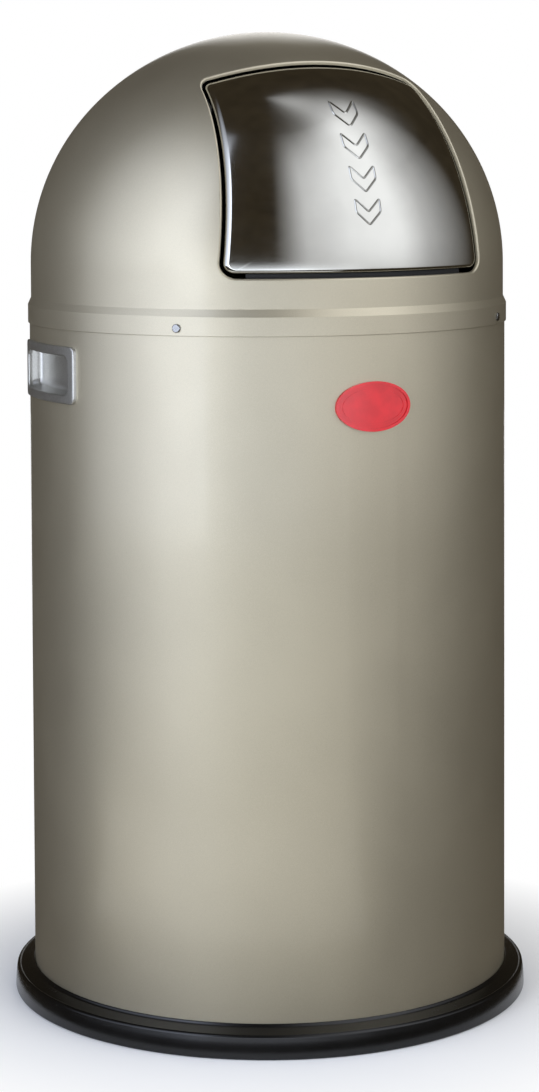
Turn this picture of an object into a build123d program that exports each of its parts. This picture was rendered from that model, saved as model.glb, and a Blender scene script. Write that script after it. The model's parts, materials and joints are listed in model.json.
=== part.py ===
from build123d import *
from math import acos, asin, atan2, cos, degrees, hypot, pi, radians, sin, sqrt, tan
import os

# Free-standing push-flap waste bin: a steel drum in a soft base ring, a domed hood with a
# sprung stainless flap, and a galvanised liner with a carrying bail.
# Millimetres, +Z up. The origin is the middle of the base. The flap faces -Y.

# Overall sizes
height = 755.0
body_diameter = 375.0
seam_height = 528.3
dome_height = 181.0

# Sheet thicknesses
body_wall = 0.8
hood_wall = 0.9
flap_wall = 0.8
liner_wall = 0.6
bracket_wall = 2.0

# Clearances
skirt_clearance = 0.35
seat_clearance = 0.2
sheet_clearance = 0.1
hole_clearance = 0.05
running_clearance = 0.08
loose_clearance = 0.4

# Base ring
ring_overhang = 15.4
ring_shoulder = 2.0
ring_edge = 16.5
ring_rise = 22.3
ring_foot = 7.0
ring_inner_lip = 18.0
ring_lip_width = 3.0
ring_inner_overhang = 7.4
ring_round = 1.5
groove_clearance = 0.3

# Drum
rim_curl = 2.2
rim_lap = 3.2
curl_opening = 60.0
floor_wall = 0.8
floor_flange = 7.0

# Hood
skirt_height = 13.7
shoulder_height = 6.5
shoulder_step = 2.45
shoulder_round = 2.4
hem_depth = 2.2

# Flap opening, seen from the front; its lower edge is just below the line where the dome springs
mouth_drop = 3.7
mouth_tall = 158.7
mouth_half_low = 108.4
mouth_half_high = 89.5
mouth_side_bow = 1.3
mouth_top_sag = 14.3
mouth_corner = 11.0

# Flap
flap_gap = 2.4
flap_inset = 0.4
flap_flange = 8.0
flap_flange_back = 1.0
flap_lip_drop = 11.5
flap_lip_half = 88.0
mark_height = 0.6
mark_stroke = 1.7
mark_width = 20.0
mark_tall = 19.0
mark_count = 4
mark_pitch = 24.0
mark_first_rise = 44.0

# Flap hinge: its axis lies on a line rising from the dome's centre
hinge_reach = 142.0
hinge_elevation = 58.0
axle_radius = 3.0
axle_end = 1.9
bracket_outboard = 6.0
bracket_eye_wall = 3.2
bracket_base = 20.0
bracket_foot = 14.0
foot_wall = 1.5
bush_wall = 1.8
bush_lip = 2.2
bush_flange = 1.2
arm_eye_wall = 4.0
arm_low_angle = 27.0
arm_high_angle = 48.0
arm_foot = 12.0
clip_rim = 2.5
clip_wall = 0.8
clip_groove = 0.6
clip_opening = 3.9

# Flap springs
spring_wire = 0.8
spring_clearance = 0.6
spring_pitch = 2.1
spring_turns = 6
spring_play = 1.65
spring_flap_leg = 26.0
spring_fixed_leg = 12.0

# Flap buffers
buffer_angle = 22.0
buffer_width = 7.0
buffer_drop = 7.3
buffer_tall = 7.0
buffer_gap = 0.3

# Collar under the hood
collar_web = 4.2
collar_top = 12.7
collar_flange = 2.5
collar_spigot_wall = 2.4
collar_spigot_drop = 12.0
collar_curl_clearance = 0.7

# Hood screws
hood_screw_rise = 5.7
hood_screw_shank = 1.5
hood_screw_head = 3.25
hood_screw_head_tall = 1.4
screw_slot = 0.8
screw_slot_deep = 0.7

# Side grips
grip_drop = 34.05
grip_tall = 43.5
grip_half = 50.8
grip_stand_out = 2.6
grip_bezel_side = 8.5
grip_bezel_top = 7.3
grip_bezel_low = 6.6
grip_wall = 1.5
grip_depth = 13.5
grip_undercut = 3.6
grip_corner = 5.0
grip_recess_corner = 3.0
grip_edge_round = 1.0
grip_boss_offset = 5.7
grip_boss = 2.2
grip_plate_wall = 1.2
grip_plate_margin = 2.5
grip_screw_head = 2.4
grip_screw_head_tall = 1.6
grip_screw_shank = 1.1
grip_screw_bite = 2.3

# Badge
badge_drop = 52.5
badge_half_width = 30.3
badge_half_tall = 18.5
badge_field = 1.6
badge_rim = 2.4
badge_rim_width = 2.2
badge_line_inset = 5.0
badge_line_width = 1.0
badge_line = 2.0
badge_stud = 1.25
badge_stud_side = 18.0
badge_stud_length = 3.2
badge_clip_radius = 4.5
badge_clip_wall = 0.6

# Liner
liner_diameter = 335.0
liner_drop = 48.3
liner_curl = 1.8
liner_floor_rise = 6.0
ear_wall = 2.0
ear_half = 14.0
ear_drop = 28.0
ear_eye = 9.0
ear_corner = 4.0
bail_rise = 8.0
rivet_shank = 2.0
rivet_head = 4.0
rivet_head_tall = 1.2
rivet_side = 8.0
rivet_drop = 20.0

# Liner bail
bail_wire_radius = 2.5
bail_inset = 9.9
bail_bend = 8.0
bail_end_head = 3.8
bail_end_tall = 1.5
bail_end_play = 1.0
bail_grip_radius = 5.5
bail_grip_angle = 12.0
bail_seat = 0.3

# How far a cutter runs past the surface it cuts, and how long a block is that crosses the whole bin
past = 3.0
far = 2 * body_diameter

# Drum and ring radii and levels that follow from the sizes above
body_radius = body_diameter / 2
body_inner = body_radius - body_wall
rim_top = seam_height + rim_lap
ring_radius = body_radius + ring_overhang
floor_top = ring_inner_lip + floor_wall
grip_middle = seam_height - grip_drop
grip_back = body_radius - grip_depth
badge_middle = seam_height - badge_drop

# Hood and opening
skirt_radius = body_radius + skirt_clearance + hood_wall
dome_radius = skirt_radius - shoulder_step
spring_line = height - dome_height
crown_offset = (dome_radius - dome_height) * (1 + sqrt(0.5))
shoulder_low = seam_height + skirt_height
shoulder_top = shoulder_low + shoulder_height
mouth_low = spring_line - mouth_drop
mouth_high = mouth_low + mouth_tall
flap_edge = hood_wall + flap_gap

# Hinge, from the axis outwards and from the brackets inwards
hinge_y = -hinge_reach * cos(radians(hinge_elevation))
hinge_z = spring_line + hinge_reach * sin(radians(hinge_elevation))
bush_radius = axle_radius + bush_wall
spring_coil = axle_radius + spring_clearance + spring_wire
bracket_x = mouth_half_high + bracket_outboard
spring_length = spring_turns * spring_pitch + 2 * spring_wire + loose_clearance + spring_play
arm_x = bracket_x - hole_clearance - bush_flange - spring_length - bracket_wall
clip_start = bracket_x + bracket_wall + 2 * loose_clearance
axle_half = clip_start + clip_wall + axle_end

# Liner and bail
liner_radius = liner_diameter / 2
liner_inner = liner_radius - liner_wall
liner_bottom = floor_top + sheet_clearance
liner_top = seam_height - liner_drop
bail_level = liner_top + bail_rise
bail_radius = liner_inner - bail_inset
bail_reach = liner_inner + liner_curl
bail_centre = bail_reach - bail_radius


def turned(*edges):
    """Turn a closed outline, drawn as (radius, height), about the bin's axis."""
    return revolve(Plane.XZ * make_face(Curve() + list(edges)), Axis.Z, 360)


def tube(outer, inner, low, high):
    """Make a plain ring between two radii and two heights."""
    return turned(Polyline((inner, low), (outer, low), (outer, high), (inner, high), (inner, low)))


def drum(radius, low, high):
    """Make a plain round block between two heights."""
    return Pos(0, 0, low) * Cylinder(radius, high - low, align=(Align.CENTER, Align.CENTER, Align.MIN))


def radial(angle, level):
    """Give the place on the bin's axis whose local X points outwards at this angle from +X."""
    return Pos(0, 0, level) * Rot(0, 0, angle)


def radial_pin(angle, level, start, end, radius):
    """Make a round pin that points outwards from the bin's axis, between two radii."""
    pin = Cylinder(radius, end - start, align=(Align.CENTER, Align.CENTER, Align.MIN))
    return radial(angle, level) * Pos(start, 0, 0) * Rot(0, 90, 0) * pin


def radial_hole(angle, level, start, end, radius):
    """Make the cutter for a round hole that points outwards, running past both ends."""
    return radial_pin(angle, level, start - past, end + past, radius)


def cross_hole(start, length, radius):
    """Make the cutter for a round hole along the hinge axis, running past both ends."""
    return cross_pin(start - past, start + length + past, hinge_y, hinge_z, radius)


def cross_pin(x_start, x_end, y, z, radius):
    """Make a round pin that lies along X."""
    pin = Cylinder(radius, x_end - x_start, align=(Align.CENTER, Align.CENTER, Align.MIN))
    return Pos(x_start, y, z) * Rot(0, 90, 0) * pin


def curled_sheet(radius, wall, low, high, curl, outwards):
    """Make a round sheet wall whose top edge is rolled into an open curl."""
    side = 1 if outwards else -1
    middle = radius - wall + curl if outwards else radius - curl
    centre = Pos(middle, high - curl)
    reach = 2 * curl
    opening = radians(curl_opening)
    gap = Polyline((0, 0), (0, -reach), (-side * reach * sin(opening), -reach * cos(opening)), (0, 0))
    roll = centre * (Circle(curl) - Circle(curl - wall) - make_face(gap))
    upright = Pos(radius - wall / 2, (low + high - curl) / 2) * Rectangle(wall, high - curl - low)
    return revolve(Plane.XZ * (roll + upright), Axis.Z, 360)


def crown_arcs(inset):
    """Draw the dome's crown as two arcs that meet smoothly, drawn in by an even inset."""
    shoulder = dome_radius - crown_offset - inset
    crown = dome_height + crown_offset - inset
    sink = spring_line - crown_offset
    meeting = (crown * cos(pi / 4), sink + crown * sin(pi / 4))
    shoulder_middle = (crown_offset + shoulder * cos(pi / 8), spring_line + shoulder * sin(pi / 8))
    crown_middle = (crown * cos(3 * pi / 8), sink + crown * sin(3 * pi / 8))
    lower = ThreePointArc((dome_radius - inset, spring_line), shoulder_middle, meeting)
    upper = ThreePointArc(meeting, crown_middle, (0, height - inset))
    return lower, upper


def dome_space(inset):
    """Fill the dome from its shoulder to its crown, drawn in by an even inset."""
    radius = dome_radius - inset
    wall = Line((radius, shoulder_top), (radius, spring_line))
    core = Polyline((0, height - inset), (0, shoulder_top), (radius, shoulder_top))
    return turned(wall, *crown_arcs(inset), core)


def bowed_circle(start, end, bow, inset):
    """Fill the circle that passes through two points with this bow, drawn in by an inset."""
    chord = Vector(end) - Vector(start)
    radius = chord.length ** 2 / (8 * bow) + bow / 2
    outwards = Vector(chord.Y, -chord.X).normalized()
    centre = (Vector(start) + Vector(end)) * 0.5 - outwards * (radius - bow)
    return Pos(centre.X, centre.Y) * Circle(radius - inset)


def mouth_face(inset):
    """Draw the flap opening as seen from the front, drawn in by an even inset."""
    side_top = mouth_high - mouth_top_sag
    half_high = mouth_half_high
    half_low = mouth_half_low
    face = Pos(0, mouth_low + inset + mouth_tall / 2) * Rectangle(4 * half_low, mouth_tall)
    face &= bowed_circle((half_low, mouth_low), (half_high, side_top), mouth_side_bow, inset)
    face &= bowed_circle((-half_high, side_top), (-half_low, mouth_low), mouth_side_bow, inset)
    face &= bowed_circle((half_high, side_top), (-half_high, side_top), mouth_top_sag, inset)
    return fillet(face.vertices(), mouth_corner - inset)


def mouth_prism(inset):
    """Carry the flap opening's outline forwards through the dome's front."""
    return extrude(Plane.XZ * mouth_face(inset), amount=far)


def flat_seat(radius, half):
    """Give how far out a flat face of this half-width can lie inside a round wall."""
    return sqrt(radius ** 2 - half ** 2) - hole_clearance


def hinge_plane(x):
    """Give the upright plane at this x, drawn as (distance towards +Y, height)."""
    return Plane(origin=(x, 0, 0), x_dir=(0, 1, 0), z_dir=(1, 0, 0))


def slot_box(length):
    """Make the cutter for a screw slot, lying across local X at the origin."""
    return Box(2 * screw_slot_deep, length, screw_slot)


def body_shell():
    """Drum wall with its rolled rim, grip windows and holes for the badge."""
    shell = curled_sheet(body_radius, body_wall, ring_foot, rim_top, rim_curl, False)
    for side in (0, 180):
        shell -= grip_window(side)
    for angle in badge_stud_angles():
        shell -= radial_hole(angle, badge_middle, body_inner, body_radius, badge_stud + sheet_clearance)
    return shell


def body_floor():
    """Pressed floor that rests on the base ring, with its edge turned up against the wall."""
    outer = body_inner - sheet_clearance
    top = ring_inner_lip + floor_flange
    return drum(outer, ring_inner_lip, top) - drum(outer - floor_wall, floor_top, top + past)


def base_ring():
    """Soft ring that the drum's lower edge stands in."""
    groove_outer = body_radius + groove_clearance
    groove_inner = body_inner - groove_clearance
    lip_inner = groove_inner - ring_lip_width
    bore = lip_inner - ring_inner_overhang + ring_lip_width
    top_radius = ring_radius - ring_shoulder
    shoulder = FilletPolyline(
        (bore, 0),
        (ring_radius - ring_round / 2, 0),
        (ring_radius, ring_round),
        (top_radius, ring_edge),
        (top_radius - ring_shoulder, ring_edge + ring_shoulder),
        (groove_outer, ring_rise),
        radius=ring_round / 2,
    )
    inside = Polyline(
        (groove_outer, ring_rise),
        (groove_outer, ring_foot),
        (groove_inner, ring_foot),
        (groove_inner, ring_inner_lip),
        (lip_inner, ring_inner_lip),
        (lip_inner, ring_foot),
        (bore, ring_foot),
        (bore, 0),
    )
    return turned(shoulder, inside)


def grip_block(half, low, high, corner):
    """Make a long block along +X with a rounded rectangular outline."""
    plane = Plane(origin=(0, 0, (low + high) / 2), x_dir=(0, 1, 0), z_dir=(1, 0, 0))
    return extrude(plane * RectangleRounded(2 * half, high - low, corner), amount=far)


def grip_levels():
    """Give the grip's lower and upper outer heights, then those of its recess."""
    low = grip_middle - grip_tall / 2
    high = grip_middle + grip_tall / 2
    return low, high, low + grip_bezel_low, high - grip_bezel_top


def grip_boss_angles():
    """Give the directions of a grip's two bosses, measured from the grip's middle."""
    lateral = grip_half - grip_bezel_side + grip_boss_offset
    angle = degrees(asin(lateral / body_radius))
    return -angle, angle


def grip_window(side):
    """Make the cutter for one grip's window and boss holes in the drum wall."""
    recess_low, recess_high = grip_levels()[2:]
    half = grip_half - grip_bezel_side + grip_wall + loose_clearance
    window = grip_block(half, recess_low - grip_wall - loose_clearance,
                        recess_high + grip_undercut + grip_wall + loose_clearance, grip_recess_corner)
    cutter = Rot(0, 0, side) * window
    for angle in grip_boss_angles():
        radius = grip_boss + sheet_clearance
        cutter += radial_hole(side + angle, grip_middle, body_inner, body_radius, radius)
    return cutter


def grip(side):
    """Moulded finger grip: a curved bezel, a tray behind it and two screw bosses."""
    low, high, recess_low, recess_high = grip_levels()
    half = grip_half - grip_bezel_side
    bezel = tube(body_radius + grip_stand_out, body_radius + hole_clearance, low, high)
    bezel &= grip_block(grip_half, low, high, grip_corner)
    outer_edges = bezel.faces().sort_by(lambda face: -face.center().X)[0].edges()
    bezel = fillet(outer_edges, grip_edge_round)
    tray = grip_block(half + grip_wall, recess_low - grip_wall,
                      recess_high + grip_undercut + grip_wall, grip_recess_corner)
    tray &= drum(body_radius + grip_stand_out / 2, low, high)
    tray -= Pos(grip_back - grip_wall - far / 2, 0, grip_middle) * Box(far, far, far)
    hollow = grip_block(half, recess_low, recess_high + grip_undercut, grip_recess_corner)
    hollow &= drum(body_radius, low, high)
    mouth = grip_block(half, recess_low, recess_high, grip_recess_corner)
    keep = Pos(grip_back - far / 2, 0, grip_middle) * Box(far, far, far)
    body = bezel + tray
    start = body_inner - grip_plate_wall
    for angle in grip_boss_angles():
        body += radial_pin(angle, grip_middle, start, body_radius + grip_stand_out / 2, grip_boss)
    body -= (hollow + mouth) - keep
    bore = grip_screw_shank + hole_clearance
    for angle in grip_boss_angles():
        body -= radial_pin(angle, grip_middle, start - past, grip_screw_tip(), bore)
    return Rot(0, 0, side) * body


def grip_screw_tip():
    """Give the radius that a grip screw's tip reaches."""
    return body_inner + grip_screw_bite


def grip_plate(side):
    """Curved sheet frame inside the drum that a grip is screwed to."""
    low, high, recess_low, recess_high = grip_levels()
    outer = body_inner - sheet_clearance
    plate = tube(outer, outer - grip_plate_wall, low, high + grip_plate_margin)
    plate &= grip_block(grip_half + grip_plate_margin, low, high + grip_plate_margin / 2, grip_corner)
    half = grip_half - grip_bezel_side + grip_wall + loose_clearance
    plate -= grip_block(half, recess_low - grip_wall - loose_clearance,
                        recess_high + grip_undercut + grip_wall + loose_clearance, grip_recess_corner)
    for angle in grip_boss_angles():
        radius = grip_boss + sheet_clearance
        plate -= radial_hole(angle, grip_middle, outer - grip_plate_wall, outer, radius)
    return Rot(0, 0, side) * plate


def grip_screws():
    """Pan-head screws that hold both grips from inside the drum."""
    seat = flat_seat(body_inner - sheet_clearance - grip_plate_wall, grip_screw_head)
    top = seat - grip_screw_head_tall
    tip = grip_screw_tip() - hole_clearance
    screws = []
    for side in (0, 180):
        for angle in grip_boss_angles():
            direction = side + angle
            head = radial_pin(direction, grip_middle, top, seat, grip_screw_head)
            head -= radial(direction, grip_middle) * Pos(top, 0, 0) * slot_box(4 * grip_screw_head)
            screws.append(head + radial_pin(direction, grip_middle, seat, tip, grip_screw_shank))
    return screws


def badge_stud_angles():
    """Give the directions of the badge's two studs, either side of the front."""
    angle = degrees(asin(badge_stud_side / body_radius))
    return -90 - angle, -90 + angle


def oval_prism(half_width, half_tall):
    """Carry an upright oval, centred on the badge, forwards through the drum's front."""
    return extrude(Plane.XZ * Pos(0, badge_middle) * Ellipse(half_width, half_tall), amount=far)


def wall_layer(thickness, cover):
    """Make a skin of this thickness over the drum's outer wall near the badge."""
    low = badge_middle - cover
    high = badge_middle + cover
    return tube(body_radius + thickness, body_radius + hole_clearance, low, high)


def badge():
    """Plain oval badge with a raised rim and a fine inner line, on two studs."""
    cover = badge_half_tall + past
    field = wall_layer(badge_field, cover) & oval_prism(badge_half_width, badge_half_tall)
    rim = oval_prism(badge_half_width, badge_half_tall)
    rim -= oval_prism(badge_half_width - badge_rim_width, badge_half_tall - badge_rim_width)
    line = oval_prism(badge_half_width - badge_line_inset, badge_half_tall - badge_line_inset)
    inner = badge_line_inset + badge_line_width
    line -= oval_prism(badge_half_width - inner, badge_half_tall - inner)
    body = field + (wall_layer(badge_rim, cover) & rim) + (wall_layer(badge_line, cover) & line)
    tip = body_inner - badge_stud_length
    for angle in badge_stud_angles():
        body += radial_pin(angle, badge_middle, tip, body_radius + badge_field / 2, badge_stud)
    return body


def badge_clips():
    """Push-on clips that hold the badge's studs inside the drum."""
    outer = body_inner - sheet_clearance
    clips = []
    for angle in badge_stud_angles():
        clip = radial_pin(angle, badge_middle, outer - badge_clip_wall, outer, badge_clip_radius)
        clip -= radial_hole(angle, badge_middle, outer, outer, badge_stud + hole_clearance)
        clips.append(clip & drum(body_inner - hole_clearance, badge_middle - past - badge_clip_radius,
                                 badge_middle + past + badge_clip_radius))
    return clips


def hood_screw_angles():
    """Give the directions of the four screws in the hood's skirt."""
    return [-135 + 90 * index for index in range(4)]


def hood_space(inset):
    """Fill the whole hood from the seam to the crown, drawn in by a sheet's thickness."""
    wall = FilletPolyline(
        (skirt_radius - inset, seam_height),
        (skirt_radius - inset, shoulder_low),
        (dome_radius - inset, shoulder_top),
        (dome_radius - inset, spring_line),
        radius=shoulder_round,
    )
    core = Polyline((0, height - inset), (0, seam_height), (skirt_radius - inset, seam_height))
    return turned(wall, *crown_arcs(inset), core)


def hood():
    """Pressed dome with its skirt, shoulder and hemmed flap opening."""
    hem = mouth_prism(0) - mouth_prism(hood_wall) - dome_space(hem_depth)
    shell = hood_space(0) - (hood_space(hood_wall) - hem)
    shell -= mouth_prism(hood_wall)
    level = seam_height + hood_screw_rise
    for angle in hood_screw_angles():
        shell -= radial_hole(angle, level, body_inner, skirt_radius, hood_screw_shank + hole_clearance)
    return shell


def lid_collar():
    """Moulded ring under the hood: it sits on the drum's rim and centres the hood inside it."""
    outer = skirt_radius - hood_wall - sheet_clearance
    seat = rim_top + seat_clearance
    spigot_outer = body_radius - 2 * rim_curl - collar_curl_clearance
    spigot_inner = spigot_outer - collar_spigot_wall
    ring = turned(Polyline(
        (spigot_inner, seat - collar_spigot_drop),
        (spigot_outer, seat - collar_spigot_drop),
        (spigot_outer, seat),
        (outer, seat),
        (outer, seam_height + collar_top),
        (outer - collar_web, seam_height + collar_top),
        (outer - collar_web, seat + collar_flange),
        (spigot_inner, seat + collar_flange),
        (spigot_inner, seat - collar_spigot_drop),
    ))
    level = seam_height + hood_screw_rise
    for angle in hood_screw_angles():
        ring -= radial_hole(angle, level, outer - collar_web, outer, hood_screw_shank + hole_clearance)
    return ring


def lid_screws():
    """Slotted round-head screws through the hood's skirt into the collar."""
    level = seam_height + hood_screw_rise
    start = skirt_radius - hood_wall - sheet_clearance - collar_web
    seat = skirt_radius + hole_clearance
    screws = []
    for angle in hood_screw_angles():
        head = radial_pin(angle, level, seat, seat + hood_screw_head_tall, hood_screw_head)
        circles = head.edges().filter_by(GeomType.CIRCLE)
        outer_circle = circles.sort_by(lambda edge: hypot(edge.center().X, edge.center().Y))[-1]
        head = fillet(outer_circle, hood_screw_head_tall / 2)
        top = seat + hood_screw_head_tall
        head -= radial(angle, level) * Pos(top, 0, 0) * slot_box(4 * hood_screw_head)
        screws.append(head + radial_pin(angle, level, start, seat, hood_screw_shank))
    return screws


def polar_point(reach, elevation):
    """Give (y, z) of a point in front of the dome's centre, at this reach and elevation."""
    return -reach * cos(radians(elevation)), spring_line + reach * sin(radians(elevation))


def eyed_plate(x_start, wall, eye, low_angle, high_angle):
    """Make an upright plate that spreads from an eye on the hinge axis towards the dome."""
    low_point = polar_point(dome_radius, low_angle)
    high_point = polar_point(dome_radius, high_angle)
    outline = Pos(hinge_y, hinge_z) * Circle(eye)
    low_side = tangent_point(low_point, eye, 1)
    high_side = tangent_point(high_point, eye, -1)
    outline += make_face(Polyline(low_side, low_point, high_point, high_side, low_side))
    return extrude(hinge_plane(x_start) * outline, amount=wall)


def tangent_point(point, radius, side):
    """Give the point on a circle round the hinge axis whose tangent passes through a point."""
    away = atan2(point[1] - hinge_z, point[0] - hinge_y)
    spread = acos(radius / hypot(point[0] - hinge_y, point[1] - hinge_z))
    angle = away + side * spread
    return hinge_y + radius * cos(angle), hinge_z + radius * sin(angle)


def hinge_bracket(side):
    """Bracket welded inside the hood beside the opening, with a foot along the dome."""
    inner = hood_wall + sheet_clearance
    spread = degrees(bracket_base / dome_radius)
    low_angle = hinge_elevation - spread
    high_angle = hinge_elevation + spread
    plate = eyed_plate(bracket_x, bracket_wall, bush_radius + bracket_eye_wall, low_angle, high_angle)
    space = dome_space(inner)
    foot = space - dome_space(inner + foot_wall)
    foot &= extrude(hinge_plane(bracket_x) * make_face(Polyline(
        (0, spring_line),
        polar_point(dome_radius, low_angle),
        polar_point(dome_radius, high_angle),
        (0, spring_line),
    )), amount=bracket_foot)
    body = (plate & space) + foot
    body -= cross_hole(bracket_x, bracket_wall, bush_radius + hole_clearance)
    return body if side > 0 else mirror(body, Plane.YZ)


def hinge_bush(side):
    """Flanged plastic bush that lets the axle turn in its bracket."""
    start = bracket_x - bush_flange - hole_clearance
    length = bracket_x + bracket_wall - start
    bush = cross_pin(start, start + bush_flange, hinge_y, hinge_z, bush_radius + bush_lip)
    bush += cross_pin(start, start + length, hinge_y, hinge_z, bush_radius)
    bush -= cross_hole(start, length, axle_radius + running_clearance)
    return bush if side > 0 else mirror(bush, Plane.YZ)


def flap_lip_radius():
    """Give the outer radius of the lip at the foot of the flap, just short of its flange's edge."""
    return dome_radius - flap_inset - flap_flange + flap_wall + flap_wall / 4


def flap_buffers():
    """Rubber blocks inside the dome that the flap's lower lip closes against."""
    outer = dome_radius - hood_wall - sheet_clearance
    inner = flap_lip_radius() + buffer_gap
    blocks = []
    level = mouth_low - buffer_drop
    for side in (-1, 1):
        block = tube(outer, inner, level - buffer_tall / 2, level + buffer_tall / 2)
        keep = Pos(dome_radius, 0, level) * Box(dome_radius, 2 * buffer_width, far)
        blocks.append(block & Rot(0, 0, -90 + side * buffer_angle) * keep)
    return blocks


def mark_face():
    """Draw one outlined arrowhead that points down, centred on the origin."""
    half = mark_width / 2
    thick = mark_tall / 2
    outline = make_face(Polyline(
        (-half, thick),
        (0, 0),
        (half, thick),
        (half, 0),
        (0, -thick),
        (-half, 0),
        (-half, thick),
    ))
    return outline - offset(outline, amount=-mark_stroke)


def flap_skin():
    """Stainless flap: a piece of the dome with turned edges and a lip behind the dome wall."""
    skin = dome_space(flap_inset) & mouth_prism(flap_edge)
    skin -= dome_space(flap_inset + flap_wall) & mouth_prism(flap_edge + flap_wall)
    skin -= dome_space(flap_inset + flap_flange)
    skin -= Pos(0, hinge_y + flap_flange_back + far / 2, hinge_z) * Box(far, far, far)
    lip_outer = flap_lip_radius()
    lip_top = mouth_low + flap_edge + flap_wall
    lip = tube(lip_outer, lip_outer - flap_wall, lip_top - flap_lip_drop, lip_top - flap_wall / 4)
    skin += lip & (Pos(0, -far / 2, lip_top) * Box(2 * flap_lip_half, far, far))
    raised = dome_space(flap_inset - mark_height) - dome_space(flap_inset + flap_wall / 2)
    for index in range(mark_count):
        level = spring_line + mark_first_rise + index * mark_pitch
        skin += raised & extrude(Plane.XZ * Pos(0, level) * mark_face(), amount=far)
    return skin


def flap_arm(side):
    """Arm welded inside the flap that carries it on the axle."""
    inner = flap_inset + flap_wall + sheet_clearance
    space = dome_space(inner)
    plate = eyed_plate(arm_x, bracket_wall, axle_radius + arm_eye_wall, arm_low_angle, arm_high_angle)
    foot = space - dome_space(inner + foot_wall)
    foot &= extrude(hinge_plane(arm_x + bracket_wall) * make_face(Polyline(
        (hinge_y, hinge_z),
        polar_point(dome_radius, arm_low_angle),
        polar_point(dome_radius, arm_high_angle),
        (hinge_y, hinge_z),
    )), amount=-arm_foot)
    body = (plate & space) + foot
    body &= mouth_prism(flap_edge + flap_wall + sheet_clearance)
    body -= cross_hole(arm_x, bracket_wall, axle_radius + hole_clearance)
    return body if side > 0 else mirror(body, Plane.YZ)


def flap_axle():
    """Round axle of the flap, with a groove for a clip near each end."""
    axle = cross_pin(-axle_half, axle_half, hinge_y, hinge_z, axle_radius)
    for side in (-1, 1):
        start = side * (clip_start + clip_wall / 2) - clip_wall / 2 - hole_clearance
        length = clip_wall + 2 * hole_clearance
        ring = cross_pin(start, start + length, hinge_y, hinge_z, axle_radius + past)
        axle -= ring - cross_hole(start, length, axle_radius - clip_groove)
    return axle


def axle_clips():
    """Open retaining clips that keep the axle in its brackets."""
    inner = axle_radius - clip_groove + hole_clearance
    outer = axle_radius + clip_rim
    clips = []
    for side in (-1, 1):
        start = side * (clip_start + clip_wall / 2) - clip_wall / 2
        clip = cross_pin(start, start + clip_wall, hinge_y, hinge_z, outer)
        clip -= cross_hole(start, clip_wall, inner)
        clip -= Pos(start, hinge_y, hinge_z - outer) * Box(past, clip_opening, 2 * outer)
        clips.append(clip)
    return clips


def arc_from(start, tangent, end):
    """Draw the arc that leaves a point along a tangent and reaches another point."""
    chord = end - start
    along = chord.normalized()
    across = (tangent - along * tangent.dot(along)).normalized()
    half_turn = acos(max(-1.0, min(1.0, tangent.dot(along))))
    middle = start + chord * 0.5 + across * (chord.length / 2 * tan(half_turn / 2))
    return ThreePointArc(start, middle, end)


def biarc(start, start_tangent, end, end_tangent):
    """Join two points and their directions by two arcs that meet smoothly."""
    chord = end - start
    both = start_tangent + end_tangent
    spread = 2 * (1 - start_tangent.dot(end_tangent))
    pull = chord.dot(both)
    reach = (-pull + sqrt(pull * pull + spread * chord.dot(chord))) / spread
    knee = (start + end + (start_tangent - end_tangent) * reach) * 0.5
    first = arc_from(start, start_tangent, knee)
    second = arc_from(end, end_tangent * -1, knee)
    return first, second


def coil_point(turn, x_start, phase):
    """Give the point and direction of the spring's coil after this many turns."""
    angle = phase + 2 * pi * turn
    across = spring_coil * cos(angle)
    up = spring_coil * sin(angle)
    point = Vector(x_start + spring_pitch * turn, hinge_y + across, hinge_z + up)
    rise = spring_pitch / (2 * pi * spring_coil)
    return point, Vector(rise, -sin(angle), cos(angle)).normalized()


def flap_spring(side):
    """Torsion spring round the axle, with a leg under the flap and one on the bracket."""
    x_start = arm_x + bracket_wall + spring_wire + loose_clearance
    phase = radians(55)
    point, tangent = coil_point(0, x_start, phase)
    edges = [Line(point - tangent * spring_flap_leg, point)]
    for half in range(2 * spring_turns):
        start, start_tangent = coil_point(half / 2, x_start, phase)
        end, end_tangent = coil_point((half + 1) / 2, x_start, phase)
        edges.extend(biarc(start, start_tangent, end, end_tangent))
    end, end_tangent = coil_point(spring_turns, x_start, phase)
    edges.append(Line(end, end + end_tangent * spring_fixed_leg))
    path = Wire(edges)
    section = Plane(origin=path.position_at(0), z_dir=path.tangent_at(0)) * Circle(spring_wire)
    spring = sweep(section, path=path)
    return spring if side > 0 else mirror(spring, Plane.YZ)


def print_spring_gap():
    """Print the least gap between two turns of the spring."""
    steps = 72
    points = [coil_point(index / steps, 0, 0)[0] for index in range(steps * spring_turns + 1)]
    gap = min(
        (first - second).length
        for index, first in enumerate(points)
        for second in points[index + steps // 2:]
    )
    print("least gap between spring turns:", round(gap - 2 * spring_wire, 3), "mm")


def liner_shell():
    """Galvanised liner wall with its top edge rolled outwards."""
    shell = curled_sheet(liner_radius, liner_wall, liner_bottom, liner_top, liner_curl, True)
    for side in (0, 180):
        for angle in rivet_angles():
            level = liner_top - rivet_drop
            radius = rivet_shank + hole_clearance
            shell -= radial_hole(side + angle, level, liner_inner, liner_radius, radius)
    return shell


def liner_floor():
    """Liner floor, raised on its own turned-down edge."""
    outer = liner_inner - sheet_clearance
    top = liner_bottom + liner_floor_rise
    return drum(outer, liner_bottom, top) - drum(outer - liner_wall, liner_bottom - past, top - liner_wall)


def rivet_angles():
    """Give the directions of an ear's two rivets, measured from its middle."""
    angle = degrees(asin(rivet_side / liner_radius))
    return -angle, angle


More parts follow.
